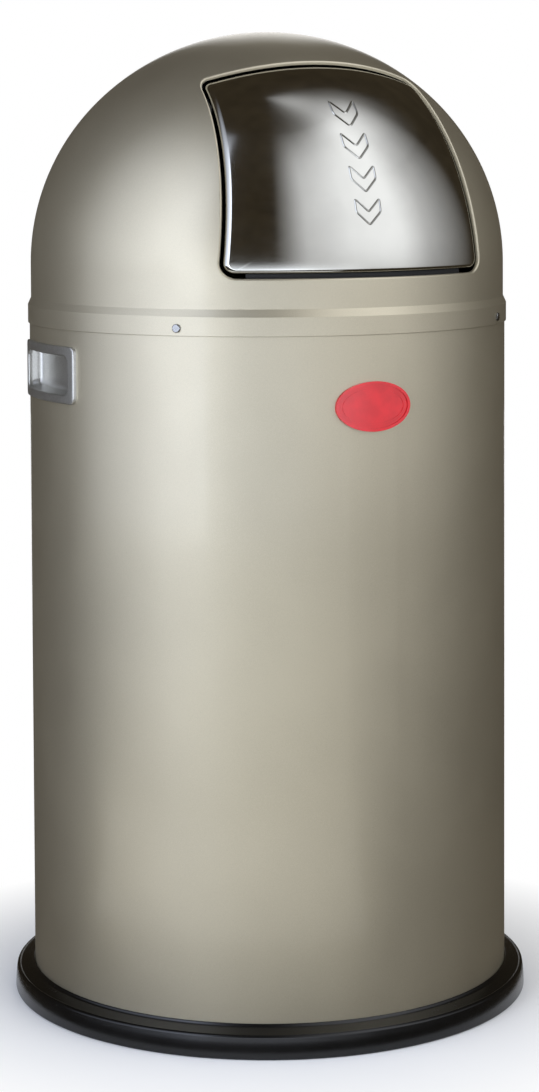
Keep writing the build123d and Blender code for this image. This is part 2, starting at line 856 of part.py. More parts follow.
def liner_ear(side):
    """Ear riveted inside the liner's rim, with an eye for the bail."""
    outer = liner_inner - sheet_clearance
    low = liner_top - ear_drop
    high = liner_top - ear_eye
    blank = Pos(0, (low + bail_level) / 2) * Rectangle(2 * ear_eye, bail_level - low)
    blank += Pos(0, (low + high) / 2) * RectangleRounded(2 * ear_half, high - low, ear_corner)
    blank += Pos(0, bail_level) * Circle(ear_eye)
    plate = extrude(hinge_plane(0) * blank, amount=far)
    plate &= tube(outer, outer - ear_wall, low - past, bail_level + ear_eye + past)
    plate -= cross_pin(0, far, 0, bail_level, bail_wire_radius + running_clearance)
    for angle in rivet_angles():
        level = liner_top - rivet_drop
        plate -= radial_hole(angle, level, outer - ear_wall, outer, rivet_shank + hole_clearance)
    return Rot(0, 0, 0 if side > 0 else 180) * plate


def liner_rivets():
    """Rivets that hold both ears, with a head on each side of the wall."""
    inner_seat = flat_seat(liner_inner - sheet_clearance - ear_wall, rivet_head)
    outer_seat = liner_radius + hole_clearance
    level = liner_top - rivet_drop
    rivets = []
    for side in (0, 180):
        for angle in rivet_angles():
            direction = side + angle
            rivet = radial_pin(direction, level, inner_seat - rivet_head_tall, inner_seat, rivet_head)
            rivet += radial_pin(direction, level, inner_seat, outer_seat, rivet_shank)
            rivet += radial_pin(direction, level, outer_seat, outer_seat + rivet_head_tall / 2, rivet_head)
            rivets.append(rivet)
    return rivets


def bail_place():
    """Give the place that lays a flat drawing of the bail over the liner's rim."""
    drop = bail_rise - bail_grip_radius - bail_seat
    return Pos(0, 0, bail_level) * Rot(-degrees(asin(drop / bail_reach)), 0, 0)


def bail_wire():
    """Round wire bail whose bent ends pass through the ears and are headed outside them."""
    corner = bail_radius + bail_bend
    end = liner_inner - sheet_clearance + bail_end_play
    bend_x = bail_radius + bail_bend * (1 - sin(pi / 4))
    bend_y = bail_bend * (1 - cos(pi / 4))
    path = Wire([
        Line((end, 0), (corner, 0)),
        ThreePointArc((corner, 0), (bend_x, bend_y), (bail_radius, bail_bend)),
        Line((bail_radius, bail_bend), (bail_radius, bail_centre)),
        ThreePointArc((bail_radius, bail_centre), (0, bail_reach), (-bail_radius, bail_centre)),
        Line((-bail_radius, bail_centre), (-bail_radius, bail_bend)),
        ThreePointArc((-bail_radius, bail_bend), (-bend_x, bend_y), (-corner, 0)),
        Line((-corner, 0), (-end, 0)),
    ])
    section = Plane(origin=(end, 0, 0), z_dir=(-1, 0, 0)) * Circle(bail_wire_radius)
    wire = sweep(section, path=path)
    wire += cross_pin(end, end + bail_end_tall, 0, 0, bail_end_head)
    wire += cross_pin(-end - bail_end_tall, -end, 0, 0, bail_end_head)
    return bail_place() * wire


def bail_grip():
    """Moulded sleeve round the middle of the bail."""
    section = Circle(bail_grip_radius) - Circle(bail_wire_radius + hole_clearance)
    blank = Plane(origin=(bail_radius, 0, 0), x_dir=(1, 0, 0), z_dir=(0, -1, 0)) * section
    sleeve = revolve(blank, Axis.Z, 2 * bail_grip_angle)
    sleeve = Pos(0, bail_centre, 0) * Rot(0, 0, 90 - bail_grip_angle) * sleeve
    return bail_place() * sleeve


def export(name, pieces):
    """Write one sub-part: a solid, or a group of separate solids."""
    solids = [solid for piece in pieces for solid in piece.solids()]
    shape = solids[0] if len(solids) == 1 else Compound(children=solids)
    export_step(shape, os.path.join("parts", name + ".step"))


def main():
    """Build every sub-part and write it under its own name."""
    os.makedirs("parts", exist_ok=True)
    export("body_shell", [body_shell()])
    export("body_floor", [body_floor()])
    export("base_ring", [base_ring()])
    export("grip_screws", grip_screws())
    export("badge", [badge()])
    export("badge_clips", badge_clips())
    export("hood", [hood()])
    export("lid_collar", [lid_collar()])
    export("lid_screws", lid_screws())
    export("flap_buffers", flap_buffers())
    export("flap_skin", [flap_skin()])
    export("flap_axle", [flap_axle()])
    export("axle_clips", axle_clips())
    export("liner_shell", [liner_shell()])
    export("liner_floor", [liner_floor()])
    export("liner_rivets", liner_rivets())
    export("bail_wire", [bail_wire()])
    export("bail_grip", [bail_grip()])
    for word, side in (("left", -1), ("right", 1)):
        turn = 180 if side < 0 else 0
        export("grip_" + word, [grip(turn)])
        export("grip_plate_" + word, [grip_plate(turn)])
        export("hinge_bracket_" + word, [hinge_bracket(side)])
        export("hinge_bush_" + word, [hinge_bush(side)])
        export("flap_arm_" + word, [flap_arm(side)])
        export("flap_spring_" + word, [flap_spring(side)])
        export("liner_ear_" + word, [liner_ear(side)])
    print_spring_gap()


main()
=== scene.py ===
import json
import math

import bpy
from mathutils import Euler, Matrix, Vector
from mathutils.geometry import delaunay_2d_cdt


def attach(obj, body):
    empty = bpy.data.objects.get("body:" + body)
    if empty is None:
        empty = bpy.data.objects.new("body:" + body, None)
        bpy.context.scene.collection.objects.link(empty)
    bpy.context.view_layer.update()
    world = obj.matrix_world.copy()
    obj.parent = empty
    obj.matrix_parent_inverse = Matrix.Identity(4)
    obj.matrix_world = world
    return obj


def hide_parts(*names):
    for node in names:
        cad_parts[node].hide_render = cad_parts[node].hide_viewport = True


# Sizes in millimetres. They are the CAD model's, apart from the roundings, the hem's depth and the
# base ring's section, which are the look's own.
HEIGHT = 755.0
HOOD_WALL = 0.9
SEAM = 528.3
SKIRT_RADIUS = 188.75
DOME_RADIUS = 186.3
DOME_HEIGHT = 181.0
SHOULDER_LOW = 542.0
SHOULDER_TOP = 548.5
SHOULDER_ROUND = 1.1
SPRING_LINE = HEIGHT - DOME_HEIGHT
# The dome's section is two arcs that meet at 45 degrees; the upper one is centred on the axis
CROWN_OFFSET = (DOME_RADIUS - DOME_HEIGHT) * (1 + math.sqrt(0.5))
ARC_JOINT = math.pi / 4
LOWER_ARC = DOME_RADIUS - CROWN_OFFSET
UPPER_ARC = DOME_HEIGHT + CROWN_OFFSET
MOUTH_LOW = 570.3
MOUTH_HIGH = 729.0
MOUTH_HALF_LOW = 108.4
MOUTH_HALF_HIGH = 89.5
MOUTH_SIDE_BOW = 1.3
MOUTH_TOP_SAG = 14.3
MOUTH_CORNER = 11.0
FLAP_EDGE = 3.3
FLAP_INSET = 0.4
FLAP_WALL = 0.8
MILLIMETRE = 0.001


def mesh_piece(name, points, faces, material, smooth=True):
    """Make a mesh object from points in millimetres."""
    mesh = bpy.data.meshes.new(name)
    mesh.from_pydata([tuple(c * MILLIMETRE for c in p) for p in points], [], faces)
    mesh.validate()
    mesh.polygons.foreach_set("use_smooth", [smooth] * len(mesh.polygons))
    mesh.materials.append(material)
    piece = bpy.data.objects.new(name, mesh)
    bpy.context.scene.collection.objects.link(piece)
    return piece


# Node helpers
class Nodes:
    """A small builder for one material's node tree."""

    def __init__(self, name):
        self.material = bpy.data.materials.new(name)
        self.material.use_nodes = True
        self.tree = self.material.node_tree
        self.tree.nodes.clear()
        self.out = self.tree.nodes.new("ShaderNodeOutputMaterial")
        self.place = self.tree.nodes.new("ShaderNodeTexCoord").outputs["Object"]

    def new(self, kind, **values):
        """Add a shader node and set its properties."""
        node = self.tree.nodes.new("ShaderNode" + kind)
        for key, value in values.items():
            setattr(node, key, value)
        return node

    def link(self, start, end):
        """Link an output to an input."""
        self.tree.links.new(start, end)

    def scaled(self, x, y, z):
        """Give object coordinates stretched along each axis."""
        node = self.new("Mapping")
        node.inputs["Scale"].default_value = (x, y, z)
        self.link(self.place, node.inputs["Vector"])
        return node.outputs["Vector"]

    def noise(self, scale, detail=2.0, rough=0.5, vector=None):
        """Give a noise of this many cells to the metre."""
        node = self.new("TexNoise")
        node.inputs["Scale"].default_value = scale
        node.inputs["Detail"].default_value = detail
        node.inputs["Roughness"].default_value = rough
        self.link(vector or self.place, node.inputs["Vector"])
        return node.outputs["Fac"]

    def ramp(self, factor, *stops, interpolation="EASE"):
        """Turn a factor into a colour by (position, colour) stops."""
        node = self.new("ValToRGB")
        node.color_ramp.interpolation = interpolation
        elements = node.color_ramp.elements
        while len(elements) < len(stops):
            elements.new(0.5)
        for element, (position, colour) in zip(elements, stops):
            element.position = position
            element.color = (*colour, 1.0)
        self.link(factor, node.inputs["Fac"])
        return node.outputs["Color"]

    def spread(self, factor, low, high, start=0.3, end=0.7):
        """Map the factors from start to end onto low to high."""
        node = self.new("MapRange")
        node.inputs["From Min"].default_value = start
        node.inputs["From Max"].default_value = end
        node.inputs["To Min"].default_value = low
        node.inputs["To Max"].default_value = high
        self.link(factor, node.inputs["Value"])
        return node.outputs["Result"]

    def blend(self, first, second, share=0.5):
        """Mix two factors; share is the second one's."""
        node = self.new("Mix", data_type="FLOAT")
        node.inputs[0].default_value = share
        self.link(first, node.inputs[2])
        self.link(second, node.inputs[3])
        return node.outputs[0]

    def multiply(self, first, second):
        """Multiply two factors, or a factor by a plain number."""
        node = self.new("Math", operation="MULTIPLY")
        self.link(first, node.inputs[0])
        if isinstance(second, float):
            node.inputs[1].default_value = second
        else:
            self.link(second, node.inputs[1])
        return node.outputs[0]

    def bump(self, height, distance, strength):
        """Give a normal for a height map; distance is in metres."""
        node = self.new("Bump")
        node.inputs["Strength"].default_value = strength
        node.inputs["Distance"].default_value = distance
        self.link(height, node.inputs["Height"])
        return node.outputs["Normal"]

    def shader(self, colour, roughness, normal, **values):
        """Close the material with a principled shader; values set its other inputs."""
        node = self.new("BsdfPrincipled")
        self.link(colour, node.inputs["Base Color"])
        self.link(roughness, node.inputs["Roughness"])
        self.link(normal, node.inputs["Normal"])
        for key, value in values.items():
            node.inputs[key.replace("_", " ")].default_value = value
        self.link(node.outputs["BSDF"], self.out.inputs["Surface"])
        return self.material


def toned(colour, factor):
    """Give a colour made lighter or darker."""
    return tuple(min(1.0, c * factor) for c in colour)


def metallic_paint(name, colour):
    """Satin metallic paint: fine flakes, a faint orange peel and slow changes of tone."""
    n = Nodes(name)
    flake = n.noise(2600, 1.0)
    cloud = n.noise(7, 3.0)
    tone = n.blend(flake, cloud, 0.45)
    shade = n.ramp(tone, (0.36, toned(colour, 0.93)), (0.64, toned(colour, 1.06)))
    rough = n.spread(n.blend(flake, n.noise(22, 3.0)), 0.42, 0.48)
    normal = n.bump(n.noise(420, 2.0), 0.00003, 0.35)
    return n.shader(shade, rough, normal, Metallic=0.9, Coat_Weight=0.4, Coat_Roughness=0.12)


def polished_steel(name, colour):
    """Polished stainless sheet with fine hairlines and faint smears."""
    n = Nodes(name)
    lines = n.noise(60, 3.0, 0.6, n.scaled(1, 1, 34))
    smear = n.noise(16, 4.0, 0.6)
    shade = n.ramp(smear, (0.3, toned(colour, 0.95)), (0.7, toned(colour, 1.03)))
    rough = n.spread(n.blend(lines, smear), 0.075, 0.15)
    normal = n.bump(lines, 0.000006, 0.25)
    return n.shader(shade, rough, normal, Metallic=1.0)


def plated_steel(name, colour, low=0.22, high=0.38):
    """Zinc-plated or drawn steel with a fine grain."""
    n = Nodes(name)
    grain = n.noise(900, 3.0, 0.6)
    cloud = n.noise(45, 3.0)
    shade = n.ramp(cloud, (0.3, toned(colour, 0.88)), (0.7, toned(colour, 1.06)))
    rough = n.spread(n.blend(grain, cloud), low, high)
    return n.shader(shade, rough, n.bump(grain, 0.00001, 0.4), Metallic=1.0)


def galvanised_steel(name, colour):
    """Hot-dip galvanised sheet: flat crystals of slightly different tone and gloss."""
    n = Nodes(name)
    cells = n.new("TexVoronoi")
    cells.inputs["Scale"].default_value = 85
    n.link(n.place, cells.inputs["Vector"])
    tint = n.new("SeparateColor")
    n.link(cells.outputs["Color"], tint.inputs["Color"])
    fine = n.noise(260, 3.0)
    tone = n.blend(tint.outputs["Red"], fine, 0.35)
    shade = n.ramp(tone, (0.15, toned(colour, 0.82)), (0.85, toned(colour, 1.1)))
    rough = n.spread(tone, 0.3, 0.5, 0.1, 0.9)
    return n.shader(shade, rough, n.bump(fine, 0.00001, 0.3), Metallic=1.0)


def moulded(name, colour, low, high, grain=700.0, depth=0.00002, **values):
    """Moulded plastic or rubber with a fine eroded texture and slight clouding."""
    n = Nodes(name)
    fine = n.noise(grain, 2.0)
    cloud = n.noise(30, 3.0, 0.6)
    shade = n.ramp(n.blend(fine, cloud), (0.35, toned(colour, 0.88)), (0.65, toned(colour, 1.1)))
    rough = n.spread(n.blend(fine, cloud), low, high)
    return n.shader(shade, rough, n.bump(fine, depth, 0.5), **values)


def enamel(name, colour):
    """Gloss enamel with a slight unevenness of its surface."""
    n = Nodes(name)
    cloud = n.noise(90, 3.0)
    shade = n.ramp(cloud, (0.3, toned(colour, 0.9)), (0.7, toned(colour, 1.08)))
    rough = n.spread(cloud, 0.14, 0.24)
    normal = n.bump(n.noise(350, 2.0), 0.00002, 0.3)
    return n.shader(shade, rough, normal, Coat_Weight=0.5, Coat_Roughness=0.06)


# Shapes that follow the dome
def crown_start(z):
    """Give the angle on the crown's upper arc at this height."""
    return math.asin((z - SPRING_LINE + CROWN_OFFSET) / UPPER_ARC)


def dome_profile(z, inset=0.0):
    """Give the dome's radius and its outward direction (out, up) at a height."""
    rise = z - SPRING_LINE
    lower = LOWER_ARC - inset
    upper = UPPER_ARC - inset
    if rise <= 0:
        return DOME_RADIUS - inset, 1.0, 0.0
    if rise <= lower * math.sin(ARC_JOINT):
        up = rise / lower
        out = math.sqrt(1 - up * up)
        return CROWN_OFFSET + lower * out, out, up
    up = min(1.0, (rise + CROWN_OFFSET) / upper)
    out = math.sqrt(1 - up * up)
    return upper * out, out, up


def dome_front(x, z, inset=0.0):
    """Give the dome's front point with this x and height, and its outward direction."""
    reach, out, up = dome_profile(z, inset)
    y = -math.sqrt(max(0.0, reach * reach - x * x))
    return Vector((x, y, z)), Vector((x / reach * out, y / reach * out, up))


def circle_through(start, end, bow):
    """Give centre and radius of the circle through two points that bows out to the right of its way."""
    chord = end - start
    radius = chord.length ** 2 / (8 * bow) + bow / 2
    outwards = Vector((chord.y, -chord.x)).normalized()
    return (start + end) / 2 - outwards * (radius - bow), radius


def circle_meeting(first, second, near):
    """Give the point where two circles meet, the one near a point."""
    (c1, r1), (c2, r2) = first, second
    line = c2 - c1
    along = (r1 * r1 - r2 * r2 + line.length_squared) / (2 * line.length)
    across = math.sqrt(max(0.0, r1 * r1 - along * along))
    unit = line.normalized()
    side = Vector((-unit.y, unit.x))
    points = [c1 + unit * along + side * across * s for s in (-1, 1)]
    return min(points, key=lambda p: (p - near).length)


def direction(angle):
    """Give the unit vector at an angle in degrees."""
    return Vector((math.cos(math.radians(angle)), math.sin(math.radians(angle))))


def bearing(centre, point):
    """Give the angle of a point seen from a centre, in degrees."""
    return math.degrees(math.atan2(point.y - centre.y, point.x - centre.x))


def mouth_loop():
    """Give the opening's outline less its corner radius: points and outward directions."""
    side_top = MOUTH_HIGH - MOUTH_TOP_SAG
    low, high = Vector((MOUTH_HALF_LOW, MOUTH_LOW)), Vector((MOUTH_HALF_HIGH, side_top))
    side_centre, side_radius = circle_through(low, high, MOUTH_SIDE_BOW)
    top_centre, top_radius = circle_through(high, Vector((-high.x, high.y)), MOUTH_TOP_SAG)
    side_radius -= MOUTH_CORNER
    top_radius -= MOUTH_CORNER
    base = MOUTH_LOW + MOUTH_CORNER
    corner_high = circle_meeting((side_centre, side_radius), (top_centre, top_radius), high)
    drop = base - side_centre.y
    corner_low = Vector((side_centre.x + math.sqrt(side_radius ** 2 - drop ** 2), base))
    side_low = bearing(side_centre, corner_low)
    side_high = bearing(side_centre, corner_high)
    top_low = bearing(top_centre, corner_high)
    steps = 40
    loop = [(Vector((corner_low.x * i / steps, base)), direction(-90)) for i in range(steps)]
    steps = 14
    loop += [(corner_low, direction(-90 + (side_low + 90) * i / steps)) for i in range(steps)]
    steps = 60
    for i in range(steps):
        turn = direction(side_low + (side_high - side_low) * i / steps)
        loop.append((side_centre + turn * side_radius, turn))
    steps = 12
    loop += [(corner_high, direction(side_high + (top_low - side_high) * i / steps)) for i in range(steps)]
    steps = 34
    for i in range(steps + 1):
        turn = direction(top_low + (90 - top_low) * i / steps)
        loop.append((top_centre + turn * top_radius, turn))
    return loop + [(Vector((-p.x, p.y)), Vector((-d.x, d.y))) for p, d in reversed(loop[1:-1])]


LOOP = mouth_loop()


def outline(inset):
    """Give the opening's outline drawn in by an inset, as (x, height) points."""
    return [p + d * (MOUTH_CORNER - inset) for p, d in LOOP]


def closed_rings(count_rings, count, first=0):
    """Join rings of equally many points by quads."""
    faces = []
    for r in range(count_rings - 1):
        a = first + r * count
        b = a + count
        faces += [(a + i, a + (i + 1) % count, b + (i + 1) % count, b + i) for i in range(count)]
    return faces


def ring_normals(rings):
    """Give smooth outward directions for a grid of closed rings that runs from inside to outside."""
    normals = []
    for r, ring in enumerate(rings):
        before, after = rings[max(r - 1, 0)], rings[min(r + 1, len(rings) - 1)]
        for i in range(len(ring)):
            along = ring[(i + 1) % len(ring)] - ring[i - 1]
            across = after[i] - before[i]
            normals.append(across.cross(along).normalized())
    return normals


def shell_piece(name, points, normals, faces, wall, edges, material):
    """Make a sheet of even thickness: its outer skin, its inner skin and its free edges."""
    count = len(points)
    both = points + [p - n * wall for p, n in zip(points, normals)]
    sides = []
    for loop in edges:
        for i, a in enumerate(loop):
            b = loop[(i + 1) % len(loop)]
            sides.append((b, a, a + count, b + count))
    inner = [tuple(i + count for i in reversed(f)) for f in faces]
    piece = mesh_piece(name, both, list(faces) + inner + sides, material)
    mesh = piece.data
    directions = [tuple(n) for n in normals] + [tuple(-n) for n in normals]
    skin = len(faces) + len(inner)
    loops = [(0.0, 0.0, 0.0)] * len(mesh.loops)
    for polygon in mesh.polygons:
        if polygon.index >= skin:
            continue
        for corner in polygon.loop_indices:
            loops[corner] = directions[mesh.loops[corner].vertex_index]
    mesh.normals_split_custom_set(loops)
    return piece


def hood_profile():
    """Give the hood's section from its free edge to the dome: (radius, height, out, up)."""
    slope, concave, edge_round = 24.0, 1.6, 0.35
    sine, cosine = math.sin(math.radians(slope)), math.cos(math.radians(slope))
    step = SKIRT_RADIUS - DOME_RADIUS
    run = (step - (SHOULDER_ROUND + concave) * (1 - cosine)) / sine
    rise = (SHOULDER_ROUND + concave) * sine + run * cosine
    start = (SHOULDER_LOW + SHOULDER_TOP - rise) / 2
    top = start + rise
    points = []
    for degrees in range(-80, 1, 20):
        out, up = math.cos(math.radians(degrees)), math.sin(math.radians(degrees))
        points.append((SKIRT_RADIUS - edge_round * (1 - out), SEAM + edge_round * (1 + up), out, up))
    # The plain skirt, with a ring at the height of its screws
    for level in (SEAM + 2, SEAM + 5.7, SEAM + 9, start - 0.6):
        points.append((SKIRT_RADIUS, level, 1.0, 0.0))
    steps = 8
    for i in range(steps + 1):
        turn = math.radians(slope * i / steps)
        out, up = math.cos(turn), math.sin(turn)
        points.append((SKIRT_RADIUS - SHOULDER_ROUND * (1 - out), start + SHOULDER_ROUND * up, out, up))
    for i in range(steps + 1):
        turn = math.radians(slope * (1 - i / steps))
        out, up = math.cos(turn), math.sin(turn)
        points.append((DOME_RADIUS + concave * (1 - out), top - concave * up, out, up))
    return points


LIP_ROUND = 1.5
HEM_DEPTH = 2.7


def lip_rings():
    """Give the rings of the rounded lip and hem round the opening, with their directions."""
    outer, edge = outline(-LIP_ROUND), outline(0)
    starts = []
    for out_point, edge_point in zip(outer, edge):
        here, normal = dome_front(out_point.x, out_point.y)
        there = dome_front(edge_point.x, edge_point.y)[0]
        way = there - here
        way = (way - normal * way.dot(normal)).normalized()
        starts.append((here - normal * LIP_ROUND, way, normal))
    rings, normals = [], []
    steps = 8
    for k in range(steps + 1):
        turn = math.pi * k / (2 * steps)
        sine, cosine = math.sin(turn), math.cos(turn)
        rings.append([c + (w * sine + n * cosine) * LIP_ROUND for c, w, n in starts])
        normals.append([w * sine + n * cosine for c, w, n in starts])
    rings.append([c + w * LIP_ROUND - n * (HEM_DEPTH - LIP_ROUND) for c, w, n in starts])
    normals.append([w for c, w, n in starts])
    return rings, normals


def inside(point, polygon):
    """Say whether a point lies inside a polygon."""
    hit = False
    for i, a in enumerate(polygon):
        b = polygon[i - 1]
        if (a.y > point.y) != (b.y > point.y):
            if point.x < (b.x - a.x) * (point.y - a.y) / (b.y - a.y) + a.x:
                hit = not hit
    return hit


WINDOW_LOW = 560.0
WINDOW_HIGH = 738.0


def hood_section():
    """Give the whole hood's section, and the rows between which the opening's window lies."""
    section = hood_profile()
    below_window, above_low_edge = 554.0, 566.5
    section.append((DOME_RADIUS, below_window, 1.0, 0.0))
    first = len(section)
    levels = [WINDOW_LOW, above_low_edge, SPRING_LINE]
    steps = 33
    levels += [SPRING_LINE + LOWER_ARC * math.sin(ARC_JOINT * i / steps) for i in range(1, steps + 1)]
    end = crown_start(WINDOW_HIGH)
    steps = 14
    for i in range(1, steps + 1):
        turn = ARC_JOINT + (end - ARC_JOINT) * i / steps
        levels.append(SPRING_LINE - CROWN_OFFSET + UPPER_ARC * math.sin(turn))
    for level in levels:
        reach, out, up = dome_profile(level)
        section.append((reach, level, out, up))
    last = len(section) - 1
    steps = 28
    for i in range(1, steps):
        turn = end + (math.pi / 2 - end) * i / steps
        out, up = math.cos(turn), math.sin(turn)
        section.append((UPPER_ARC * out, SPRING_LINE - CROWN_OFFSET + UPPER_ARC * up, out, up))
    return section, first, last


def framed(point):
    """Give a front point's place in a flat picture of the dome: round the axis and along its section."""
    rise = max(0.0, point.z - SPRING_LINE)
    if rise <= 0:
        along = point.z
    elif rise <= LOWER_ARC * math.sin(ARC_JOINT):
        along = SPRING_LINE + LOWER_ARC * math.asin(rise / LOWER_ARC)
    else:
        turn = math.asin((rise + CROWN_OFFSET) / UPPER_ARC)
        along = SPRING_LINE + LOWER_ARC * ARC_JOINT + UPPER_ARC * (turn - ARC_JOINT)
    width_per_radian = 150.0
    return Vector((math.atan2(point.x, -point.y) * width_per_radian, along))


def hood_shell(material):
    """Painted hood: skirt, shoulder and dome, with a rolled lip round the flap's opening."""
    around_count, half_window = 288, 50
    section, first, last = hood_section()
    points, normals = [], []
    for reach, level, out, up in section:
        for i in range(around_count):
            a = 2 * math.pi * i / around_count
            points.append(Vector((math.sin(a) * reach, -math.cos(a) * reach, level)))
            normals.append(Vector((math.sin(a) * out, -math.cos(a) * out, up)))
    pole = len(points)
    points.append(Vector((0, 0, HEIGHT)))
    normals.append(Vector((0, 0, 1)))

    faces = []
    for r in range(len(section) - 1):
        for i in range(around_count):
            j = (i + 1) % around_count
            column = i if i < around_count / 2 else i - around_count
            if first <= r < last and -half_window <= column < half_window:
                continue
            a = r * around_count
            faces.append((a + i, a + j, a + around_count + j, a + around_count + i))
    top = (len(section) - 1) * around_count
    faces += [(top + i, top + (i + 1) % around_count, pole) for i in range(around_count)]

    rings, ring_directions = lip_rings()
    lip_first = len(points)
    for ring, way in zip(rings, ring_directions):
        points += ring
        normals += way
    count = len(LOOP)
    faces += closed_rings(len(rings), count, lip_first)
    hole = [framed(dome_front(p.x, p.y)[0]) for p in outline(-LIP_ROUND)]
    clear = 2.0
    margin = [framed(dome_front(p.x, p.y)[0]) for p in outline(-LIP_ROUND - clear)]
    used, flat = [], []
    for r in range(first, last + 1):
        for column in range(-half_window, half_window + 1):
            index = r * around_count + column % around_count
            place = framed(points[index])
            if not inside(place, margin):
                used.append(index)
                flat.append(place)
    hole_start = len(used)
    used += range(lip_first, lip_first + count)
    flat += hole
    edges = [(hole_start + i, hole_start + (i + 1) % count) for i in range(count)]
    result = delaunay_2d_cdt(flat, edges, [], 0, 1e-6, True)
    places, triangles, origins = result[0], result[2], result[3]
    for triangle in triangles:
        middle = sum((places[k] for k in triangle), Vector((0, 0))) / 3
        if inside(middle, hole):
            continue
        face = tuple(used[origins[k][0]] for k in triangle)
        a, b, c = (places[k] for k in triangle)
        if (b - a).cross(c - a) < 0:
            face = tuple(reversed(face))
        faces.append(face)
    hem = [lip_first + (len(rings) - 1) * count + i for i in reversed(range(count))]
    rim = list(range(around_count))
    return shell_piece("hood_shell", points, normals, faces, HOOD_WALL, [rim, hem], material)


FLAP_ROUND = 3.2
FLAP_FLANGE = 8.0
HINGE_Y = -75.25
MARK_LEVELS = (618.0, 642.0, 666.0, 690.0)
MARK_HALF, MARK_RISE, MARK_STROKE, MARK_HEIGHT = 10.0, 9.5, 1.7, 0.6


def flap_panel(material):
    """Stainless flap: pressed sheet with rolled edges and a turned flange."""
    edge = outline(FLAP_EDGE + FLAP_ROUND)
    count = len(edge)
    centre = Vector((0, 640.0))
    rings = []
    steps = 40
    for s in range(1, steps + 1):
        places = [centre + (q - centre) * (s / steps) for q in edge]
        rings.append([dome_front(q.x, q.y, FLAP_INSET)[0] for q in places])
    steps = 9
    for k in range(1, steps + 1):
        turn = math.pi * k / (2 * steps)
        sine, cosine = math.sin(turn), math.cos(turn)
        depth = FLAP_INSET + FLAP_ROUND * (1 - cosine)
        rings.append([dome_front(q.x, q.y, depth)[0] for q in outline(FLAP_EDGE + FLAP_ROUND * (1 - sine))])
    rim = outline(FLAP_EDGE)
    base = rings[-1]
    # The flange narrows where the flap's top comes near the axle
    steps, narrowest, clear, fade = 6, 0.04, 2.0, 6.0
    for k in range(1, steps + 1):
        ring = []
        for q, start in zip(rim, base):
            room = min(1.0, max(narrowest, (HINGE_Y - clear - start.y) / fade))
            depth = FLAP_INSET + FLAP_ROUND + (FLAP_FLANGE - FLAP_ROUND) * room * k / steps
            ring.append(dome_front(q.x, q.y, depth)[0])
        rings.append(ring)
    normals = ring_normals(rings)
    points = [p for ring in rings for p in ring]
    pole, normal = dome_front(centre.x, centre.y, FLAP_INSET)
    faces = [tuple(reversed(f)) for f in closed_rings(len(rings), count)]
    faces += [(len(points), i, (i + 1) % count) for i in range(count)]
    points.append(pole)
    normals.append(normal)
    free = [(len(rings) - 1) * count + i for i in range(count)]
    return shell_piece("flap_panel", points, normals, faces, FLAP_WALL, [free], material)


def rounded_corners(corners, steps):
    """Round each corner (x, height, reach) of a closed path."""
    points = []
    longest_share = 0.48
    for i, (x, z, reach) in enumerate(corners):
        corner = Vector((x, z))
        before = Vector(corners[i - 1][:2]) - corner
        after = Vector(corners[(i + 1) % len(corners)][:2]) - corner
        start = corner + before.normalized() * min(reach, before.length * longest_share)
        end = corner + after.normalized() * min(reach, after.length * longest_share)
        for k in range(steps + 1):
            t = k / steps
            points.append(start * (1 - t) ** 2 + corner * (2 * t * (1 - t)) + end * t * t)
    return points


def flap_marks(material):
    """Four plain arrowheads pressed into the flap, each one raised line."""
    half, rise = MARK_HALF, MARK_RISE
    shape = [(-half, rise), (-half, 0), (0, -rise), (half, 0), (half, rise), (0, 0)]
    corner_reach, point_distance, sink, across = 2.0, 1.2, 0.02, 10
    points, normals, faces = [], [], []
    for level in MARK_LEVELS:
        path = rounded_corners([(x, level + z, corner_reach) for x, z in shape], 6)
        dense = []
        for i, p in enumerate(path):
            q = path[(i + 1) % len(path)]
            parts = max(1, round((q - p).length / point_distance))
            dense += [p + (q - p) * (k / parts) for k in range(parts)]
        count = len(dense)
        rings = []
        for s in range(across + 1):
            share = s / across - 0.5
            height = MARK_HEIGHT * (0.5 + 0.5 * math.cos(2 * math.pi * share)) - sink
            ring = []
            for i, p in enumerate(dense):
                way = (dense[(i + 1) % count] - dense[i - 1]).normalized()
                q = p + Vector((way.y, -way.x)) * (MARK_STROKE * share)
                here, normal = dome_front(q.x, q.y, FLAP_INSET)
                ring.append(here + normal * height)
            rings.append(ring)
        first = len(points)
        points += [p for ring in rings for p in ring]
        skin = closed_rings(len(rings), count, first)
        last = first + across * count
        skin += [(last + i, last + (i + 1) % count, first + (i + 1) % count, first + i) for i in range(count)]
        faces += [tuple(reversed(f)) for f in skin]
        normals += ring_normals(rings)
    piece = mesh_piece("flap_marks", points, faces, material)
    piece.data.normals_split_custom_set_from_vertices([tuple(n) for n in normals])
    return piece


LIP_RADIUS = 178.9
LIP_HALF = 88.0
LIP_LOW = 562.9
LIP_TOP = 574.2


def flap_lip_painted_shade(material):
    """Lip at the flap's foot, under its lower flange, that closes against the buffers; its dark rubber face
    is painted shade in the gap under the flap.
    """
    middle, thick = LIP_RADIUS - FLAP_WALL / 2, FLAP_WALL / 2
    section = []
    for level, start in ((LIP_LOW + thick, 180), (LIP_TOP - thick, 0)):
        section += [Vector((middle, level)) + direction(start + 30 * k) * thick for k in range(7)]
    points, faces = [], []
    steps, count = 56, len(section)
    reach = math.asin(LIP_HALF / LIP_RADIUS)
    for i in range(steps + 1):
        turn = reach * (2 * i / steps - 1)
        points += [(math.sin(turn) * q.x, -math.cos(turn) * q.x, q.y) for q in section]
    for i in range(steps):
        a = i * count
        for j in range(count):
            b = (j + 1) % count
            faces.append((a + j, a + count + j, a + count + b, a + b))
    faces += [tuple(range(count)), tuple(reversed(range(steps * count, (steps + 1) * count)))]
    piece = mesh_piece("flap_lip_painted_shade", points, faces, material)
    piece.data.set_sharp_from_angle(angle=math.radians(40))
    return piece


